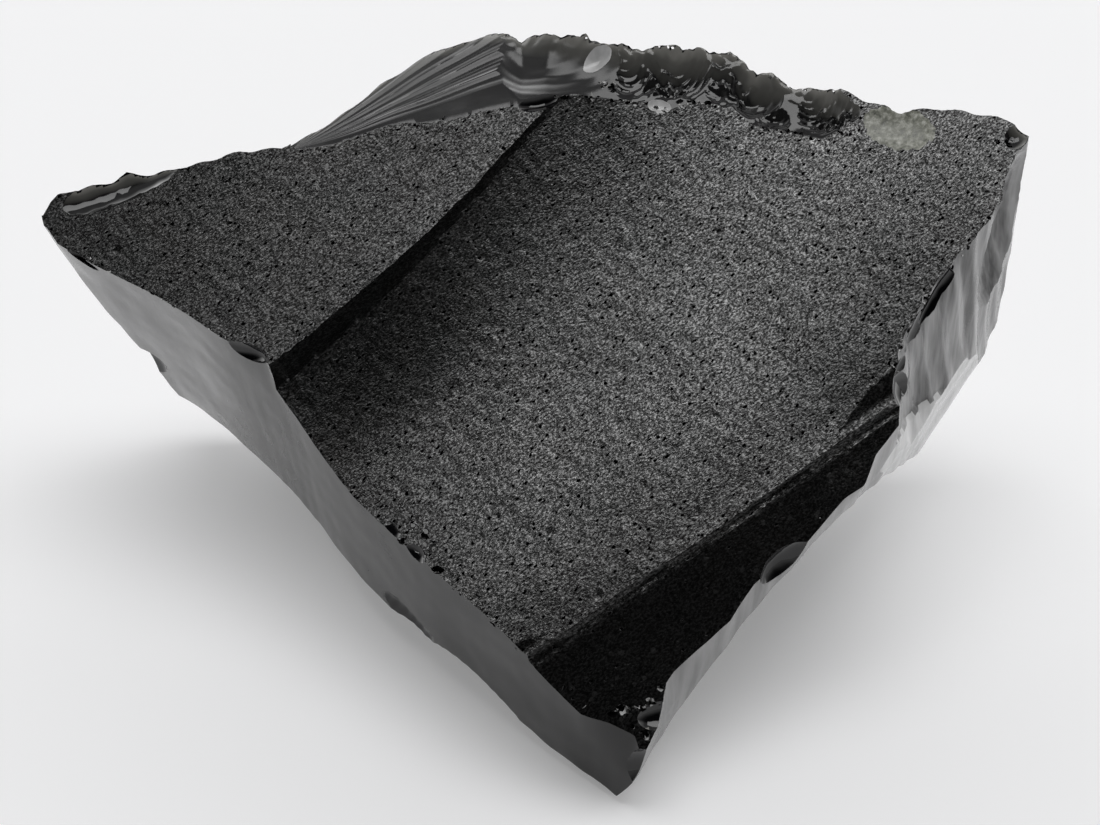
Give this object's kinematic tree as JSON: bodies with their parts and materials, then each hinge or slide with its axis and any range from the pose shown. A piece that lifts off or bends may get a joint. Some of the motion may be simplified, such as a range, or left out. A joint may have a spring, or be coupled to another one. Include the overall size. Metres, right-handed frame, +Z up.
{
  "type": "obsidian chunk",
  "caption": "Broken wedge of volcanic glass with a grainy dished top, sharp glassy fracture sides and a flat facet that it rests on.",
  "frame": {"origin": "on the flat facet that the stone rests on, under the middle of the stone", "axes": "+X along the longest side, to the right as seen from the low front corner; +Y from that corner towards the high back edge; +Z up"},
  "size_m": [0.1002, 0.0672, 0.0453],
  "materials": {
    "obsidian": "grainy and pitted on top, glassy on the breaks"
  },
  "bodies": {
    "root": {"obsidian_chunk": "obsidian"}
  },
  "joints": []
}
